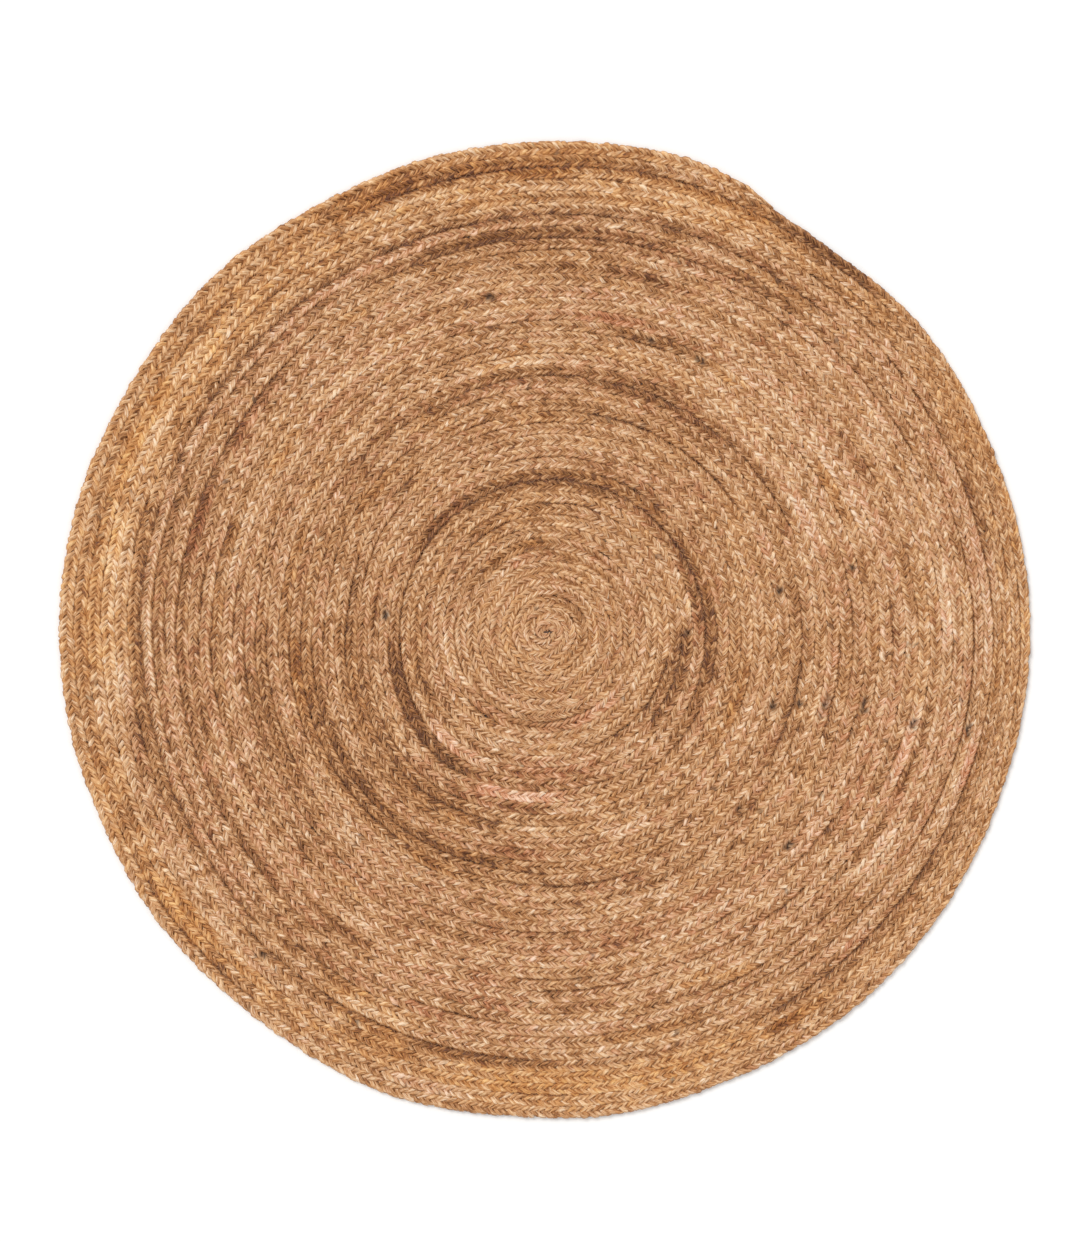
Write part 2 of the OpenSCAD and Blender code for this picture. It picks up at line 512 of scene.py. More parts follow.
@dataclass
class JuteShades:
    """How the jute's shade runs along each strand and each length of plait.

    Attributes:
        coil: the path of the plait.
        extra_arcs: how many chance stretches of paler or darker jute there are.
        extra_seams: how many chance stretches of open seam there are.
        last_turn: the turn of the rim, which chance stretches reach.
        lobe_tone: how the tone varies from one lobe of a strand to the next.
        fibre_tone: how it varies within a lobe, by period of the strand.
        strand_tone: how it varies over several lobes of one strand, by period.
        batch_tones: how it varies along the whole plait, by distance.
        lobe_warm: how the warmth varies from one lobe of a strand to the next.
        strand_warm: how it varies over several lobes of one strand, by period.
        batch_warm: how it varies along the whole plait, by distance.
        rim_warm: how much more golden the outermost turns are.
        seam_painted_shade: how much painted shade darkens the jute beside an open seam.
        crest_painted_shading: how much painted highlight the crown of a lobe gets, and how much
            painted shade its flanks and ends get.
        crown_mid: the part of the way up a lobe at which its tone is unchanged.
    """

    coil: Coil
    extra_arcs: int = 190
    extra_seams: int = 170
    last_turn: float = 41.5
    lobe_tone: Waver = Waver(0.3, 1, 0)
    fibre_tone: Waver = Waver(0.26, 6.3, 1)
    strand_tone: Waver = Waver(0.13, 0.17, 2)
    batch_tones: tuple[Waver, Waver] = (Waver(0.08, 1 / 700, 77), Waver(0.06, 1 / 2600, 79))
    lobe_warm: Waver = Waver(0.34, 1, 3)
    strand_warm: Waver = Waver(0.22, 0.6, 4)
    batch_warm: Waver = Waver(0.2, 1 / 450, 78)
    rim_warm: float = 0.22
    seam_painted_shade: float = 0.85
    crest_painted_shading: float = 0.56
    crown_mid: float = 0.66

    def __post_init__(self) -> None:
        """Collects the chosen stretches, the bark, and many small chance ones."""
        rng = np.random.default_rng(17)
        self.arcs = list(CHOSEN_ARCS)
        self.seams = list(OPEN_SEAMS)
        self.bark = [
            ShadeArc(turn, angle - reach / 2, angle + reach / 2, tone=1.3, width=0.55)
            for turn, angle, reach in BARK
        ]
        for _ in range(self.extra_arcs):
            turn = self.last_turn * math.sqrt(rng.uniform(0.02, 1))
            start = rng.uniform(0, 360)
            span = rng.uniform(60, 500) / turn
            tone = rng.choice([-0.3, -0.22, -0.14, 0.14, 0.24])
            self.arcs.append(ShadeArc(turn, start, start + span, tone, rng.uniform(-0.4, 0.4)))
        for _ in range(self.extra_seams):
            turn = self.last_turn * math.sqrt(rng.uniform(0.03, 0.95))
            start = rng.uniform(0, 360)
            span = rng.uniform(100, 900) / turn
            tone = -rng.uniform(0.2, 0.9)
            self.seams.append(ShadeArc(turn, start, start + span, tone, width=0.3))

    def place(self, s: np.ndarray, y: np.ndarray) -> tuple[np.ndarray, np.ndarray]:
        """How many turns out each place is, and its direction in plan in degrees."""
        _, _, _, nx, ny, half = self.coil.at(s)
        c, si = self.coil.across
        plan = np.degrees(np.arctan2(nx * si + ny * c, nx * c - ny * si)) % 360
        return half / 2 - 0.5 + y / self.coil.braid_w, plan

    def spread(self, arcs: list[ShadeArc], turn: np.ndarray, plan: np.ndarray) -> np.ndarray:
        """Adds up tone and warmth from the arcs that reach a strand, one row for each."""
        total = np.zeros((2, len(turn)))
        seam = (0.5 + self.coil.lay_angle / 360) % 1
        low, high = turn.min() - 4, turn.max() + 4
        for arc in arcs:
            if low < arc.turn < high:
                weight = arc.weight(turn, plan, seam)
                total[0] += arc.tone * weight
                total[1] += arc.warm * weight
        return total

    def open_seams(self, s: np.ndarray, y: np.ndarray) -> np.ndarray:
        """How far the seam is open beside each place, from 0 to 1."""
        turn, plan = self.place(s, y)
        broken = 0.8 + 0.5 * wave_noise(s / 9, 81)
        return np.clip(-self.spread(self.seams, turn, plan)[0] * broken, 0, 1)

    def jute(
        self, phase: np.ndarray, s: np.ndarray, y: np.ndarray, crest: np.ndarray, seed: int
    ) -> np.ndarray:
        """Works out the shade at each point of a strand.

        Args:
            phase: periods of the strand from its start.
            s: distances along the plait.
            y: distances from the plait's middle line.
            crest: about 1 on the crown of a lobe, and less on its flanks and towards its ends; it
                sets the painted highlight and the painted shade.
            seed: the strand's own seed.

        Returns:
            Rows of tone, warmth, fleck and 1, each from 0 to 1.
        """
        turn, plan = self.place(s, y)
        lobes = phase * 2 + 0.25
        tone = self.lobe_tone.along(lobes, seed)
        tone += self.fibre_tone.along(phase, seed) + self.strand_tone.along(phase, seed)
        tone += sum(batch.along(s) for batch in self.batch_tones)
        tone *= np.clip((turn - 3) / 4, 0.6, 1)  # the jute is more even in the middle
        warm = self.lobe_warm.along(lobes + 0.5, seed) + self.strand_warm.along(phase, seed)
        warm += self.batch_warm.along(s)
        warm += self.rim_warm * np.clip((turn - 37.6) / 1.6, 0, 1)  # the rim is its own batch
        paler, warmer = self.spread(self.arcs, turn, plan)
        # Painted shade: the jute is darker along each open seam.
        tone += paler - self.seam_painted_shade * self.open_seams(s, y)
        # Painted highlight on the crown of each lobe, and painted shade on its flanks and ends.
        tone += self.crest_painted_shading * (crest - self.crown_mid)
        fleck = self.flecks(phase, self.spread(self.bark, turn, plan)[0], seed)
        return np.stack([0.5 + tone / 2, 0.5 + (warm + warmer) / 2, fleck, np.ones_like(tone)], 1)

    def flecks(self, phase: np.ndarray, knots: np.ndarray, seed: int) -> np.ndarray:
        """How much dark bark shows: rare short specks, and torn-edged knots.

        Args:
            phase: periods of the strand from its start.
            knots: how strongly a knot shows at each point.
            seed: the strand's own seed.

        Returns:
            The amounts, from 0 to 1.
        """
        specks = np.clip((wave_noise(phase * 5.0, seed + 5) - 0.88) * 9, 0, 1)
        specks *= np.clip(wave_noise(phase * 0.31, seed + 6) * 3, 0, 0.8)
        torn = np.clip(0.8 + wave_noise(phase * 5.3, seed + 8), 0, 1)
        return np.maximum(specks, knots * torn)


# ------------------------------------------------------------------ straight runs


def repeat(
    name: str, unit: bpy.types.Mesh, pitch: float, count: int, trim: tuple[float, float] = (0, 0)
) -> bpy.types.Object:
    """Makes a straight run of a repeated unit, joined end to end.

    Args:
        name: the piece's name.
        unit: one unit, open at both ends, whose UVs run 0 to 1 along it.
        pitch: the unit's length along X.
        count: how many units.
        trim: the length to cut off at the start and at the end.

    Returns:
        A piece with a plain mesh, in the scene.
    """
    obj = bpy.data.objects.new(name, unit)
    bpy.context.collection.objects.link(obj)
    rows = obj.modifiers.new("run", "ARRAY")
    rows.use_relative_offset = False
    rows.use_constant_offset = True
    rows.constant_offset_displace = (pitch, 0, 0)
    rows.count = count
    rows.use_merge_vertices = True
    rows.merge_threshold = 0.02
    rows.offset_u = 1.0
    graph = bpy.context.evaluated_depsgraph_get()
    mesh = bpy.data.meshes.new_from_object(obj.evaluated_get(graph))
    obj.modifiers.clear()
    obj.data = mesh
    bpy.data.meshes.remove(unit)
    bm = bmesh.new()
    bm.from_mesh(mesh)
    for cut, place, side in ((trim[0], trim[0], -1), (trim[1], pitch * count - trim[1], 1)):
        if cut > 0:
            whole = bm.verts[:] + bm.edges[:] + bm.faces[:]
            bmesh.ops.bisect_plane(
                bm, geom=whole, plane_co=(place, 0, 0), plane_no=(side, 0, 0), clear_outer=True
            )
    bmesh.ops.holes_fill(bm, edges=[e for e in bm.edges if e.is_boundary], sides=12)
    bm.to_mesh(mesh)
    bm.free()
    mesh.name = name
    return obj


def points_of(mesh: bpy.types.Mesh) -> np.ndarray:
    """A mesh's points, one row each."""
    flat = np.empty(len(mesh.vertices) * 3)
    mesh.vertices.foreach_get("co", flat)
    return flat.reshape(-1, 3)


def bake_map(mesh: bpy.types.Mesh, count: int, aspect: float) -> None:
    """Adds a map that lays a long tube out in rows, with nothing on top of anything.

    Args:
        mesh: a run whose "fibre" UVs go 0 to count along it and 0 to 1 round it.
        count: how many units long the run is.
        aspect: a unit's length over its girth.
    """
    fibre = mesh.uv_layers["fibre"]
    uv = np.empty(len(fibre.uv) * 2, dtype=np.float32)
    fibre.uv.foreach_get("vector", uv)
    uv = uv.reshape(-1, 2)
    rows = max(1, round(math.sqrt(count * aspect)))
    per_row = math.ceil(count / rows)
    starts = np.empty(len(mesh.polygons), dtype=np.int32)
    totals = np.empty(len(mesh.polygons), dtype=np.int32)
    mesh.polygons.foreach_get("loop_start", starts)
    mesh.polygons.foreach_get("loop_total", totals)
    middle = np.add.reduceat(uv[:, 0], starts) / totals
    row = np.repeat(np.clip(middle // per_row, 0, rows - 1), totals)
    gap = 0.04
    across = (row + gap / 2 + uv[:, 1] * (1 - gap)) / rows
    along = np.clip((uv[:, 0] - row * per_row) / per_row, 0, 1)
    layer = mesh.uv_layers.new(name="OFBake")
    layer.uv.foreach_set("vector", np.stack([along, across], 1).astype(np.float32).ravel())


def sweep_unit(rings: list[Matrix], sides: int) -> bpy.types.Mesh:
    """Builds an open tube through a list of rings, with UVs along it and round it.

    Args:
        rings: the place of each ring, for a circle of radius 1 on its own XY plane.
        sides: the tube's number of sides.

    Returns:
        The tube's mesh.
    """
    bm = bmesh.new()
    uv = bm.loops.layers.uv.new("fibre")
    bmesh.ops.create_circle(bm, segments=sides, radius=1, matrix=rings[0])
    edges = bm.edges[:]
    for last, place in zip(rings, rings[1:]):
        made = bmesh.ops.extrude_edge_only(bm, edges=edges)["geom"]
        verts = [g for g in made if isinstance(g, bmesh.types.BMVert)]
        bmesh.ops.transform(bm, matrix=place @ last.inverted(), verts=verts)
        edges = [g for g in made if isinstance(g, bmesh.types.BMEdge) and g.is_boundary]
    bm.verts.index_update()
    for face in bm.faces:
        at_ring = [v.index // sides for v in face.verts]
        at_side = [v.index % sides for v in face.verts]
        wraps = max(at_side) - min(at_side) > 1
        for loop, ring, side in zip(face.loops, at_ring, at_side):
            across = sides if wraps and side == 0 else side
            loop[uv].uv = (ring / (len(rings) - 1), across / sides)
    bmesh.ops.recalc_face_normals(bm, faces=bm.faces[:])
    mesh = bpy.data.meshes.new("unit")
    bm.to_mesh(mesh)
    bm.free()
    return mesh


# ------------------------------------------------------------------ the plait


class Strand(Enum):
    """The five strands of the plait, by the fifth of a period by which each is ahead."""

    FIRST = 0
    SECOND = 1
    THIRD = 2
    FOURTH = 3
    FIFTH = 4


@dataclass
class PlaitForm:
    """The sizes of the plait itself, in which each strand goes over two and under two.

    Attributes:
        period: the length over which a strand crosses the plait and comes back.
        swing: how far a strand's middle goes to each side.
        corner: how much quicker it bends at the edges than a plain wave.
        lift: how far its middle rises over the others, or dives.
        crown: how flat the stretches on top and below are.
        early: how long before the edge it comes up, as an angle of its period in radians.
        strand_w: a strand's width.
        strand_h: its thickness.
        rings: where its sections are in half a period, in degrees.
        sides: how many sides a section has.
        map_aspect: a period's length over a strand's girth, roughly, for the map.
    """

    period: float = 36.0
    swing: float = 5.45
    corner: float = 0.03
    lift: float = 1.8
    crown: float = 2.2
    early: float = 0.62
    strand_w: float = 5.8
    strand_h: float = 4.6
    rings: tuple[int, ...] = (15, 45, 75, 105, 135, 165)
    sides: int = 6
    map_aspect: float = 2.5

    def side(self, turn: np.ndarray) -> np.ndarray:
        """A strand's place across the plait, which changes evenly between quick bends."""
        return self.swing * (np.sin(turn) - self.corner * np.sin(3 * turn))

    def rise(self, turn: np.ndarray) -> np.ndarray:
        """A strand's height: it comes up just before the edge and stays up nearly to the middle."""
        wave = np.tanh(self.crown * np.sin(2 * turn + self.early))
        return -self.lift * wave / math.tanh(self.crown)

    def path(self, turn: float) -> Vector:
        """Where a strand's middle is at a part of its period, in radians."""
        along = self.period * turn / (2 * math.pi)
        return Vector((along, float(self.side(turn)), float(self.rise(turn))))

    def ring(self, turn: float) -> Matrix:
        """The place, direction and size of a strand's section at a part of its period."""
        small = 0.08
        ahead = (self.path(turn + small) - self.path(turn - small)).normalized()
        side = Vector((0, 0, 1)).cross(ahead).normalized()
        up = ahead.cross(side)
        turned = Matrix((side, up, ahead)).transposed().to_4x4()
        size = Matrix.Diagonal((self.strand_w / 2, self.strand_h / 2, 1, 1))
        spin = Matrix.Rotation(math.pi / self.sides, 4, "Z")
        return Matrix.Translation(self.path(turn)) @ turned @ size @ spin

    def one_period(self) -> bpy.types.Mesh:
        """Builds one period of a strand, open at both ends."""
        steps = [*self.rings, *(180 + ring for ring in self.rings), 360 + self.rings[0]]
        return sweep_unit([self.ring(math.radians(step)) for step in steps], self.sides)


@dataclass(frozen=True)
class Handwork:
    """How uneven the plaiting is: by how much each thing varies along a strand.

    Attributes:
        girth: a strand's girth, on average, as a part of its form's.
        lump: how fat a strand is within a lobe, by period, as a part of its girth.
        swell: how fat it is over several lobes, by period.
        lean: how far a lobe leans to one side, by lobe.
        jog: how far a strand strays to one side within a lobe, by period.
        proud: how far it stands up or sinks, by period.
        slip: how far all the strands slip along the plait together, by period.
        slide: how far a lobe slides along its strand, by lobe.
        sway: how far the whole plait sways between its seams, by period.
    """

    girth: float = 1.02
    lump: Waver = Waver(0.22, 3.1, 0)
    swell: Waver = Waver(0.08, 0.37, 1)
    lean: Waver = Waver(0.7, 1, 2)
    jog: Waver = Waver(0.55, 4.7, 7)
    proud: Waver = Waver(0.5, 3.3, 3)
    slip: Waver = Waver(1.6, 1.1, 9)
    slide: Waver = Waver(2.0, 1, 4)
    sway: Waver = Waver(0.3, 0.45, 11)


@dataclass
class Plait:
    """All the strands of the coiled plait.

    Attributes:
        coil: the path of the plait.
        shades: the jute's shades along it.
        form: the sizes of the plait itself.
        hand: how uneven the plaiting is.
        stagger: how many periods further along each strand is spliced than the length ends.
        tuck: how far the very start is pulled in, and the tip of the tail too.
        start_reach: the length over which the start is pulled in.
        tip_reach: the length over which the tip of the tail narrows and tucks in.
        tip_thin: how much narrower and thinner the tip gets, from 0 to 1.
    """

    coil: Coil
    shades: JuteShades
    form: PlaitForm = field(default_factory=PlaitForm)
    hand: Handwork = Handwork()
    stagger: tuple[int, ...] = (-2, 1, 3, -1, 2)
    tuck: float = 2.4
    start_reach: float = 20
    tip_reach: float = 40
    tip_thin: float = 0.6

    def __post_init__(self) -> None:
        """Fits a whole number of periods to the plait, and finds where lengths are spliced."""
        coil = self.coil
        self.periods = round(coil.total / self.form.period)
        self.form.period = coil.total / self.periods
        halves = coil.tail_half + 1
        marks = [round(halves * math.sqrt(n / coil.lengths)) for n in range(coil.lengths + 1)]
        self.splices = [round(coil.distance_at_half(mark) / self.form.period) for mark in marks]
        self.splices.append(self.periods)

    def splice_of(self, n: int, strand: Strand) -> int:
        """The period at which a strand is spliced: each strand's splice is staggered."""
        if n <= 0 or n >= len(self.splices) - 1:
            return self.splices[n]
        return self.splices[n] + self.stagger[strand.value]

    def build_strand(self, n: int, strand: Strand, finish: bpy.types.Material) -> bpy.types.Object:
        """Builds one strand of one length of plait, wound on the spiral.

        Args:
            n: the length's number, from 1, one past the last for the tail.
            strand: which strand.
            finish: its material.

        Returns:
            The finished piece.
        """
        first = self.splice_of(n - 1, strand)
        count = self.splice_of(n, strand) - first
        tail = n == len(self.splices) - 1
        place = "tail" if tail else f"braid_{n:02d}"
        name = f"{place}_strand_{strand.value + 1}"
        ahead = strand.value / len(Strand) * self.form.period
        start = 0.0
        if n == 1 and ahead > 0:
            first, count, start = first - 1, count + 1, self.form.period - ahead
        least_cut = 0.01
        trim = (start, max(ahead, least_cut) if tail else 0.0)
        obj = repeat(name, self.form.one_period(), self.form.period, count, trim)
        self.wind(obj.data, first, strand)
        bake_map(obj.data, count, self.form.map_aspect)
        obj.data.materials.clear()
        obj.data.materials.append(finish)
        obj.data.shade_smooth()
        return obj

    def wind(self, mesh: bpy.types.Mesh, first: int, strand: Strand) -> None:
        """Moves a straight strand onto the spiral, with the unevenness of handwork.

        Args:
            mesh: the straight strand, which gets its shades as the attribute "jute".
            first: the period at which it starts.
            strand: which strand it is.
        """
        coil, form, hand = self.coil, self.form, self.hand
        p = points_of(mesh)
        phase = p[:, 0] / form.period + first
        turns = phase + strand.value / len(Strand)
        lobes = phase * 2 + 0.25
        seed = 40 + 17 * strand.value
        mid_y = form.side(2 * np.pi * phase)
        mid_z = form.rise(2 * np.pi * phase)
        plump = hand.girth + hand.lump.along(phase, seed) + hand.swell.along(phase, seed)
        y = mid_y + (p[:, 1] - mid_y) * plump + hand.sway.along(turns)
        y += hand.lean.along(lobes + 0.25, seed) + hand.jog.along(phase, seed)
        z = mid_z + (p[:, 2] - mid_z) * plump
        proud = hand.proud.along(phase, seed) * np.sign(z)
        s = turns * form.period + hand.slip.along(turns) + hand.slide.along(lobes - 0.25, seed)
        close = np.clip(np.minimum(s, coil.total - s) / 6, 0, 1)
        s = np.clip(s, 0, coil.total)
        tip = np.clip((coil.total - s) / self.tip_reach, 0, 1)
        squash = coil.at(s)[2] / (coil.braid_w - coil.seam_gap)
        squash *= 1 - self.tip_thin * (1 - tip)
        y = y * squash - self.tuck * (np.exp(-((s / self.start_reach) ** 2)) + 1 - tip)
        flat = (0.45 + 0.55 * np.clip(squash, 0, 1)) * (0.55 + 0.45 * close)
        flat *= 1 - 0.6 * self.shades.open_seams(s, y)  # the plait is thinner at an open seam
        half = coil.thick / 2
        height = half + (z * half / (form.lift + form.strand_h / 2) + proud) * flat
        mesh.vertices.foreach_set("co", coil.wind(s, y, np.maximum(height, 0)).ravel())
        # crest sets the painted highlight on each lobe's crown and the painted shade on its flanks;
        # a lobe that dives under the others gets more painted shade.
        crest = np.abs(p[:, 2] - mid_z) / (form.strand_h / 2)
        crest *= 0.45 + 0.55 * np.abs(mid_z) / form.lift
        shade = self.shades.jute(phase, s, y, crest, 200 + 31 * strand.value)
        layer = mesh.color_attributes.new("jute", "FLOAT_COLOR", "POINT")
        layer.data.foreach_set("color", np.clip(shade, 0, 1).astype(np.float32).ravel())
        mesh.update()

    def build(self, finish: bpy.types.Material) -> None:
        """Builds every strand, and hides the CAD node that each length of plait stands in for."""
        for n in range(1, len(self.splices)):
            tail = n == len(self.splices) - 1
            node = "tail_end" if tail else f"braid_length_{n:02d}"
            for strand in Strand:
                piece = self.build_strand(n, strand, finish)
                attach(piece, "root")
                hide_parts(node)
            LOG.info("%s: five strands", node)


# ------------------------------------------------------------------ the sewing


class Face(Enum):
    """The two faces of the rug, by the node that holds each one's thread."""

    TOP = "needle_thread"
    UNDER = "bobbin_thread"


@dataclass
class ZigzagSeam:
    """The zigzag that sews each turn to the next, on both faces.

    Attributes:
        coil: the path of the plait.
        pitch: the length of a zig and a zag.
        throw: how far the stitches reach to each side of the seam.
        thread_d: the thread's diameter.
        corner_z: how high the needle's holes are, on the upper face.
        span_z: how high the thread is between two holes.
        sides: how many sides the thread has.
        map_aspect: a zigzag's length over the thread's girth, roughly, for the map.
        uneven: how uneven the stitches are along the seam, across it and in height.
    """

    coil: Coil
    pitch: float = 12.0
    throw: float = 2.9
    thread_d: float = 0.75
    corner_z: float = 6.9
    span_z: float = 7.7
    sides: int = 3
    map_aspect: float = 6.0
    uneven: tuple[Waver, Waver, Waver] = (
        Waver(0.5, 1 / 7, 300),
        Waver(0.4, 1 / 9, 310),
        Waver(0.25, 1 / 5, 320),
    )

    def unit(self, pitch: float, face: Face) -> bpy.types.Mesh:
        """Builds one zig and one zag, open at both ends.

        Args:
            pitch: their length along the seam.
            face: the face of the rug that they lie on.

        Returns:
            The mesh of one stretch of thread.
        """
        lean = math.sqrt(1 + (4 * self.throw / pitch) ** 2)
        turned = Matrix(((0, 0, 1), (1, 0, 0), (0, 1, 0))).to_4x4()
        r = self.thread_d / 2
        rings = []
        for quarter, side in enumerate((-1, 0, 1, 0, -1)):
            z = self.corner_z if side else self.span_z
            z = z if face is Face.TOP else self.coil.thick - z
            place = Matrix.Translation((quarter * pitch / 4, side * self.throw, z))
            rings.append(place @ turned @ Matrix.Diagonal((r * lean, r, 1, 1)))
        return sweep_unit(rings, self.sides)

    def build_run(self, run: int, face: Face, finish: bpy.types.Material) -> bpy.types.Object:
        """Builds one run of the seam, of the thread that one bobbin holds.

        Args:
            run: the run's number, from 1.
            face: the face that it lies on.
            finish: its material.

        Returns:
            The finished piece.
        """
        coil, runs, halves = self.coil, self.coil.seam_runs, self.coil.last_half
        marks = [round(halves * math.sqrt(n / runs)) + 1 for n in range(runs + 1)]
        start = coil.distance_at_half(marks[run - 1])
        stop = coil.distance_at_half(coil.tail_stop() if run == runs else marks[run])
        count = round((stop - start) / self.pitch)
        pitch = (stop - start) / count
        obj = repeat(f"{face.value}_{run}_stitches", self.unit(pitch, face), pitch, count)
        mesh = obj.data
        p = points_of(mesh)
        ds, dy, dz = (waver.along(p[:, 0], run) for waver in self.uneven)
        s = np.clip(start + p[:, 0] + ds, start, stop)
        y = (coil.at(s)[2] + coil.seam_gap) / 2 + p[:, 1] + dy
        mesh.vertices.foreach_set("co", coil.wind(s, y, p[:, 2] + dz).ravel())
        mesh.update()
        bake_map(mesh, count, self.map_aspect)
        mesh.materials.clear()
        mesh.materials.append(finish)
        mesh.shade_smooth()
        return obj

    def build(self, finish: bpy.types.Material) -> None:
        """Sews every turn on both faces."""
        for face in Face:
            for run in range(1, self.coil.seam_runs + 1):
                piece = self.build_run(run, face, finish)
                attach(piece, "root")
                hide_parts(f"{face.value}_{run}")
                LOG.info("%s_%d: zigzag stitches", face.value, run)

    def dress_tacks(self, finish: bpy.types.Material) -> None:
        """Gives the tail's tack stitches their thread."""
        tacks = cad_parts["tail_tack"]
        tacks.data.materials.clear()
        tacks.data.materials.append(finish)
        LOG.info("tail_tack: stitches across the tail")


# ------------------------------------------------------------------ finishes


@dataclass(frozen=True)
class JuteStrand:
    """Undyed jute sliver, combed and plaited by hand.

    To the eye it is matt and fibrous, from dark brown to straw, with a faint silky glow at low
    angles. Its colour also holds painted shade in the grooves and a painted highlight on the
    crowns of the lobes. Some strands are golden, some rosy, and specks of bark are left in it.

    Attributes:
        dark: the darkest bundles, and the deepest painted shade in the grooves and open seams.
        brown: a dark bundle.
        tan: the common shade.
        light: a light bundle.
        pale: a bleached bundle, and the painted highlight on the crown of a lobe.
        shade_at: where brown, tan and light lie between dark and pale, from 0 to 1.
        golden: the tint of the most golden jute.
        rosy: the tint of the rosiest jute.
        bark: bark and knots.
        contrast: how strongly bundles of fibre differ from each other.
        roughness: matt, as dry plant fibre is.
        sheen: the glow of fibre ends at low angles.
        relief: the strength of the bumps.
        relief_mm: how high a bundle of fibre stands out.
        bundle_mm: the width of a bundle.
        bundle_len_mm: its length.
        girth_mm: the girth of a strand.
        twist: how far bundles slant across the strand, in degrees.
    """

    dark: str = "#5a2f0e"
    brown: str = "#9e6733"
    tan: str = "#c49263"
    light: str = "#ddb78f"
    pale: str = "#f1dac0"
    shade_at: tuple[float, float, float] = (0.3, 0.52, 0.76)
    golden: str = "#ffe29e"
    rosy: str = "#fbd2cc"
    bark: str = "#38200f"
    contrast: float = 2.1
    roughness: float = 0.62
    sheen: float = 0.05
    relief: float = 0.9
    relief_mm: float = 0.7
    # Real jute fibres are about 0.1 mm wide and cling together in bundles of about 0.5 mm. They are
    # drawn three times as coarse, because they wouldn't show at all from where a whole rug is seen.
    bundle_mm: float = 1.5
    bundle_len_mm: float = 7.0
    girth_mm: float = 15.5
    twist: float = 6

    def build(self, period: float) -> bpy.types.Material:
        """Makes the material.

        Args:
            period: the plait's period in millimetres, the length of one unit of the fibre map.

        Returns:
            The jute material.
        """
        mat = bpy.data.materials.new("jute_strand")
        mat.use_nodes = True
        tree = mat.node_tree
        tree.nodes.clear()
        jute = node_with(tree, "VertexColor", {"layer_name": "jute"}, {})
        part = node_with(tree, "SeparateColor", {}, {"Color": jute.outputs["Color"]})
        streak = self.streaks(tree, period)
        shade = self.shaded(tree, streak.outputs["Fac"], part.outputs["Red"])
        warm = part.outputs["Green"]
        gold = self.tinted(tree, self.golden, 0.95, warm, shade.outputs["Color"])
        rose = self.tinted(tree, self.rosy, 0.1, warm, gold.outputs[2])
        flecked = self.flecked(tree, streak.outputs["Fac"], part.outputs["Blue"], rose.outputs[2])
        bump = node_with(
            tree,
            "Bump",
            {"Strength": self.relief, "Distance": self.relief_mm * MM},
            {"Height": streak.outputs["Fac"]},
        )
        shader = node_with(
            tree,
            "BsdfPrincipled",
            {"Roughness": self.roughness, "Sheen Weight": self.sheen, "Sheen Roughness": 0.5},
            {"Base Color": flecked.outputs[2], "Normal": bump.outputs["Normal"]},
        )
        node_with(tree, "OutputMaterial", {}, {"Surface": shader.outputs["BSDF"]})
        return mat

    def shaded(
        self, tree: bpy.types.NodeTree, streak: bpy.types.NodeSocket, tone: bpy.types.NodeSocket
    ) -> bpy.types.Node:
        """Colours each bundle of fibre from dark to pale, round the strand's own tone.

        Args:
            tree: the material's node tree.
            streak: how pale a bundle is beside its neighbours, from 0 to 1.
            tone: how pale the strand is there, from 0 to 1, with its painted highlight and painted
                shade.

        Returns:
            The colour ramp.
        """
        raised = node_with(
            tree,
            "Math",
            {"operation": "MULTIPLY_ADD", 1: self.contrast},
            {0: streak, 2: tone},
        )
        level = node_with(
            tree, "Math", {"operation": "SUBTRACT", 1: self.contrast / 2}, {0: raised.outputs[0]}
        )
        ramp = node_with(tree, "ValToRGB", {}, {"Fac": level.outputs[0]})
        stops = ramp.color_ramp.elements
        stops[0].position, stops[0].color = 0.0, linear(self.dark)
        stops[1].position, stops[1].color = 1.0, linear(self.pale)
        for at, colour in zip(self.shade_at, (self.brown, self.tan, self.light)):
            stops.new(at).color = linear(colour)
        return ramp

    def flecked(
        self,
        tree: bpy.types.NodeTree,
        streak: bpy.types.NodeSocket,
        amount: bpy.types.NodeSocket,
        colour: bpy.types.NodeSocket,
    ) -> bpy.types.Node:
        """Lays bark over a colour, torn along the bundles of fibre.

        Args:
            tree: the material's node tree.
            streak: how pale a bundle is beside its neighbours, from 0 to 1.
            amount: how much bark there is, from 0 to 1.
            colour: the colour of the jute.

        Returns:
            The mixed colour's node.
        """
        torn = node_with(
            tree,
            "MapRange",
            {"From Min": 0.36, "From Max": 0.56, "To Min": 0.5, "To Max": 1.0},
            {"Value": streak},
        )
        cover = node_with(
            tree,
            "Math",
            {"operation": "MULTIPLY", "use_clamp": True},
            {0: amount, 1: torn.outputs[0]},
        )
        return node_with(
            tree,
            "Mix",
            {"data_type": "RGBA", 7: linear(self.bark)},
            {0: cover.outputs[0], 6: colour},
        )

    def streaks(self, tree: bpy.types.NodeTree, period: float) -> bpy.types.Node:
        """Bundles of fibre that run along the strand with a slight twist.

        Args:
            tree: the material's node tree.
            period: the plait's period in millimetres.

        Returns:
            The noise node.
        """
        uv = node_with(tree, "UVMap", {"uv_map": "fibre"}, {})
        scale = (period / self.bundle_len_mm, self.girth_mm / self.bundle_mm, 1.0)
        spread = node_with(
            tree,
            "Mapping",
            {"Scale": scale, "Rotation": (0, 0, math.radians(self.twist))},
            {"Vector": uv.outputs["UV"]},
        )
        return node_with(
            tree,
            "TexNoise",
            {"Scale": 1.0, "Detail": 4.0, "Roughness": 0.65},
            {"Vector": spread.outputs["Vector"]},
        )

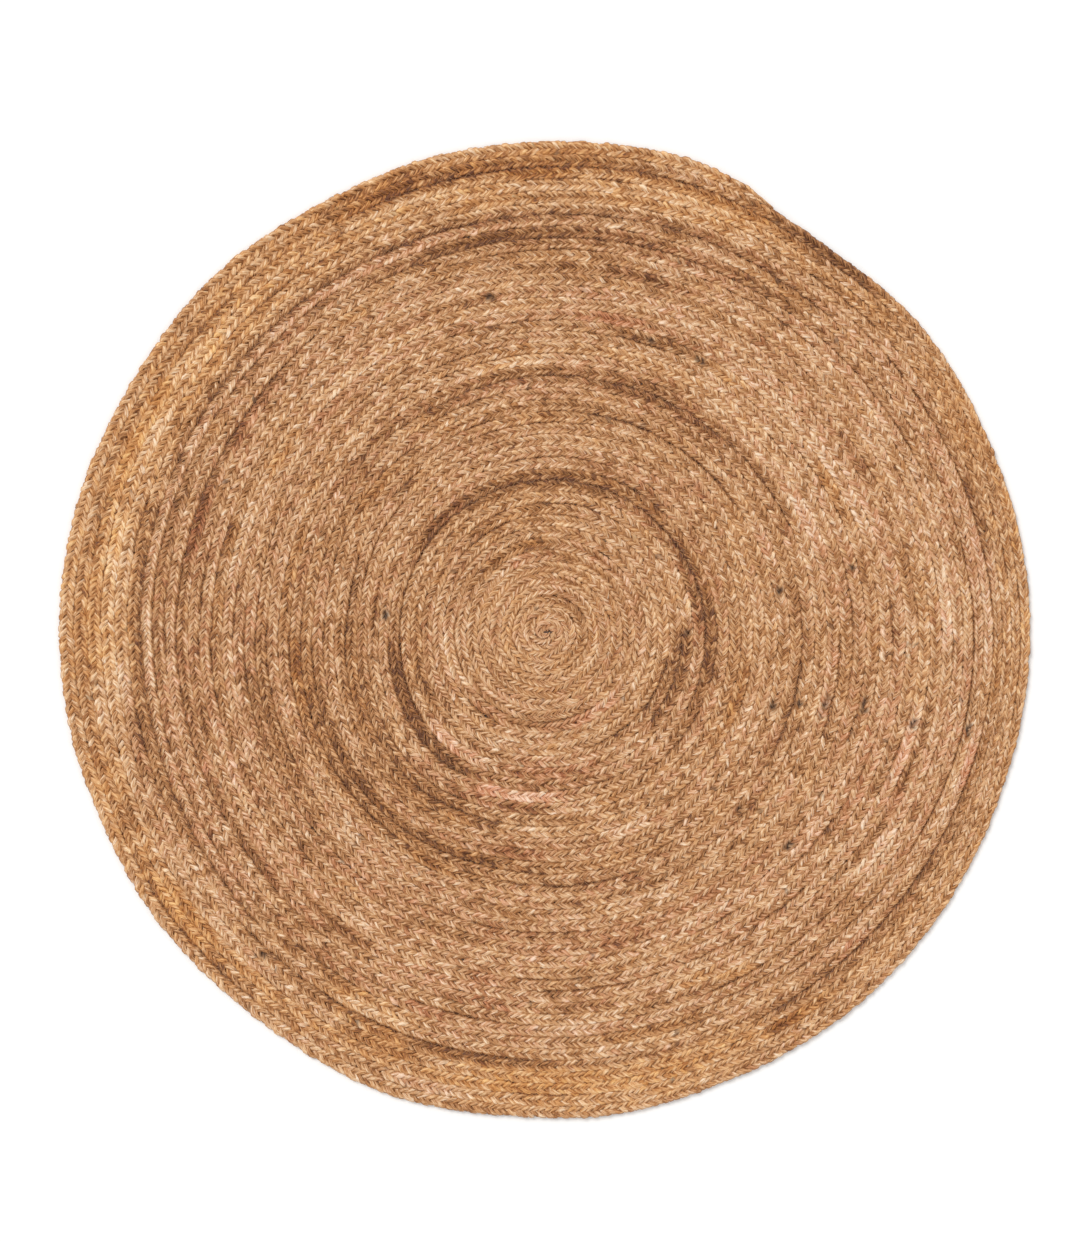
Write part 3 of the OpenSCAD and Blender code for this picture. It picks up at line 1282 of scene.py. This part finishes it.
    def tinted(
        self,
        tree: bpy.types.NodeTree,
        tint: str,
        full_at: float,
        warm: bpy.types.NodeSocket,
        colour: bpy.types.NodeSocket,
    ) -> bpy.types.Node:
        """Multiplies a colour by a tint where the jute is warmer or cooler than most.

        Args:
            tree: the material's node tree.
            tint: the tint's colour.
            full_at: the warmth at which the tint is strongest.
            warm: the jute's warmth, 0.5 where it has no tint.
            colour: the colour to tint.

        Returns:
            The mixed colour's node.
        """
        amount = node_with(
            tree,
            "MapRange",
            {"From Min": 0.5, "From Max": full_at, "To Min": 0.0, "To Max": 0.8},
            {"Value": warm},
        )
        return node_with(
            tree,
            "Mix",
            {"data_type": "RGBA", "blend_type": "MULTIPLY", 7: linear(tint)},
            {0: amount.outputs[0], 6: colour},
        )


@dataclass(frozen=True)
class SewingThread:
    """Spun polyester sewing thread, dyed to match the jute.

    To the eye it is a little smoother and glossier than the jute, and mottled by its plies.

    Attributes:
        colour: the lit side of a ply.
        shadow: the groove between two plies.
        ply_mm: the width of a ply.
        relief: the strength of the bumps.
        relief_mm: how high a ply stands out.
        roughness: smoother than jute.
        sheen: the glow of spun fibre at low angles.
    """

    colour: str = "#c08f5e"
    shadow: str = "#9a6c42"
    ply_mm: float = 0.5
    relief: float = 0.4
    relief_mm: float = 0.1
    roughness: float = 0.5
    sheen: float = 0.1

    def build(self) -> bpy.types.Material:
        """Makes the material."""
        mat = bpy.data.materials.new("sewing_thread")
        mat.use_nodes = True
        tree = mat.node_tree
        tree.nodes.clear()
        place = node_with(tree, "TexCoord", {}, {})
        plies = node_with(
            tree,
            "TexNoise",
            {"Scale": 1 / (self.ply_mm * MM), "Detail": 2.0},
            {"Vector": place.outputs["Object"]},
        )
        colour = node_with(
            tree,
            "Mix",
            {"data_type": "RGBA", 6: linear(self.shadow), 7: linear(self.colour)},
            {0: plies.outputs["Fac"]},
        )
        bump = node_with(
            tree,
            "Bump",
            {"Strength": self.relief, "Distance": self.relief_mm * MM},
            {"Height": plies.outputs["Fac"]},
        )
        shader = node_with(
            tree,
            "BsdfPrincipled",
            {"Roughness": self.roughness, "Sheen Weight": self.sheen},
            {"Base Color": colour.outputs[2], "Normal": bump.outputs["Normal"]},
        )
        node_with(tree, "OutputMaterial", {}, {"Surface": shader.outputs["BSDF"]})
        return mat


@dataclass(frozen=True)
class StudioFloor:
    """A plain matt painted floor, almost white, so that the rug's edge stands clear of it."""

    colour: str = "#f7f7f6"
    roughness: float = 0.9

    def build(self) -> bpy.types.Material:
        """Makes the floor's material."""
        mat = bpy.data.materials.new("studio_floor")
        mat.use_nodes = True
        shader = mat.node_tree.nodes["Principled BSDF"]
        shader.inputs["Base Color"].default_value = linear(self.colour)
        shader.inputs["Roughness"].default_value = self.roughness
        return mat


# ------------------------------------------------------------------ studio


@dataclass
class Studio:
    """The floor, the light and the camera straight above, in metres.

    Attributes:
        height: how high the camera hangs.
        view_h: how much of the floor it sees from top to bottom.
        aim: the point of the floor below it.
        floor_half: half the floor's side.
        floor_drop: how far the floor lies below the rug, which keeps the two surfaces apart.
        fill: the strength of the light from all round.
        key_from: the direction that the key light comes from, the upper left.
        key_spread: how soft the key light is, in degrees.
        key_power: its strength.
    """

    height: float = 4.2
    view_h: float = 1.5347
    aim: tuple[float, float] = (-0.0049, 0.0103)
    floor_half: float = 6.0
    floor_drop: float = 0.0005
    fill: float = 0.8
    key_from: tuple[float, float, float] = (-1.5, 1.7, 3.3)
    key_spread: float = 26
    key_power: float = 1.45

    def build(self) -> None:
        """Makes the whole studio."""
        bpy.context.scene.view_settings.view_transform = "Standard"
        self.floor()
        self.lights()
        self.camera()

    def floor(self) -> None:
        """Lays a floor that reaches past every view."""
        bm = bmesh.new()
        bmesh.ops.create_grid(bm, x_segments=1, y_segments=1, size=self.floor_half)
        mesh = bpy.data.meshes.new("floor")
        bm.to_mesh(mesh)
        bm.free()
        floor = bpy.data.objects.new("floor", mesh)
        mesh.materials.append(StudioFloor().build())
        mesh.transform(Matrix.Translation((0, 0, -self.floor_drop)))
        bpy.context.collection.objects.link(floor)

    def lights(self) -> None:
        """Lights the rug evenly from all round, with one soft key light."""
        world = bpy.data.worlds.new("studio")
        bpy.context.scene.world = world
        world.use_nodes = True
        back = world.node_tree.nodes["Background"]
        back.inputs["Color"].default_value = (1.0, 1.0, 1.0, 1.0)
        back.inputs["Strength"].default_value = self.fill
        light = bpy.data.lights.new("key", "SUN")
        light.angle = math.radians(self.key_spread)
        light.energy = self.key_power
        key = bpy.data.objects.new("key", light)
        key.location = self.key_from
        key.rotation_euler = (-Vector(self.key_from)).to_track_quat("-Z", "Y").to_euler()
        bpy.context.collection.objects.link(key)

    def camera(self) -> None:
        """Sets the camera straight above, a little off the rug's middle."""
        data = bpy.data.cameras.new("overhead")
        data.sensor_width = 36
        data.lens = data.sensor_width * self.height / self.view_h
        data.clip_end = 50
        obj = bpy.data.objects.new("overhead", data)
        obj.location = (*self.aim, self.height)
        bpy.context.collection.objects.link(obj)
        bpy.context.scene.camera = obj


# ------------------------------------------------------------------ build


def main() -> None:
    """Builds the rug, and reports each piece."""
    logging.basicConfig(level=logging.INFO, format="%(message)s")
    Studio().build()
    coil = Coil()
    plait = Plait(coil, JuteShades(coil))
    LOG.info("plait: %.1f m, %d periods", coil.total * MM, plait.periods)
    plait.build(JuteStrand().build(plait.form.period))
    sewing = ZigzagSeam(coil)
    thread = SewingThread().build()
    sewing.build(thread)
    sewing.dress_tacks(thread)


if __name__ == "__main__":
    main()
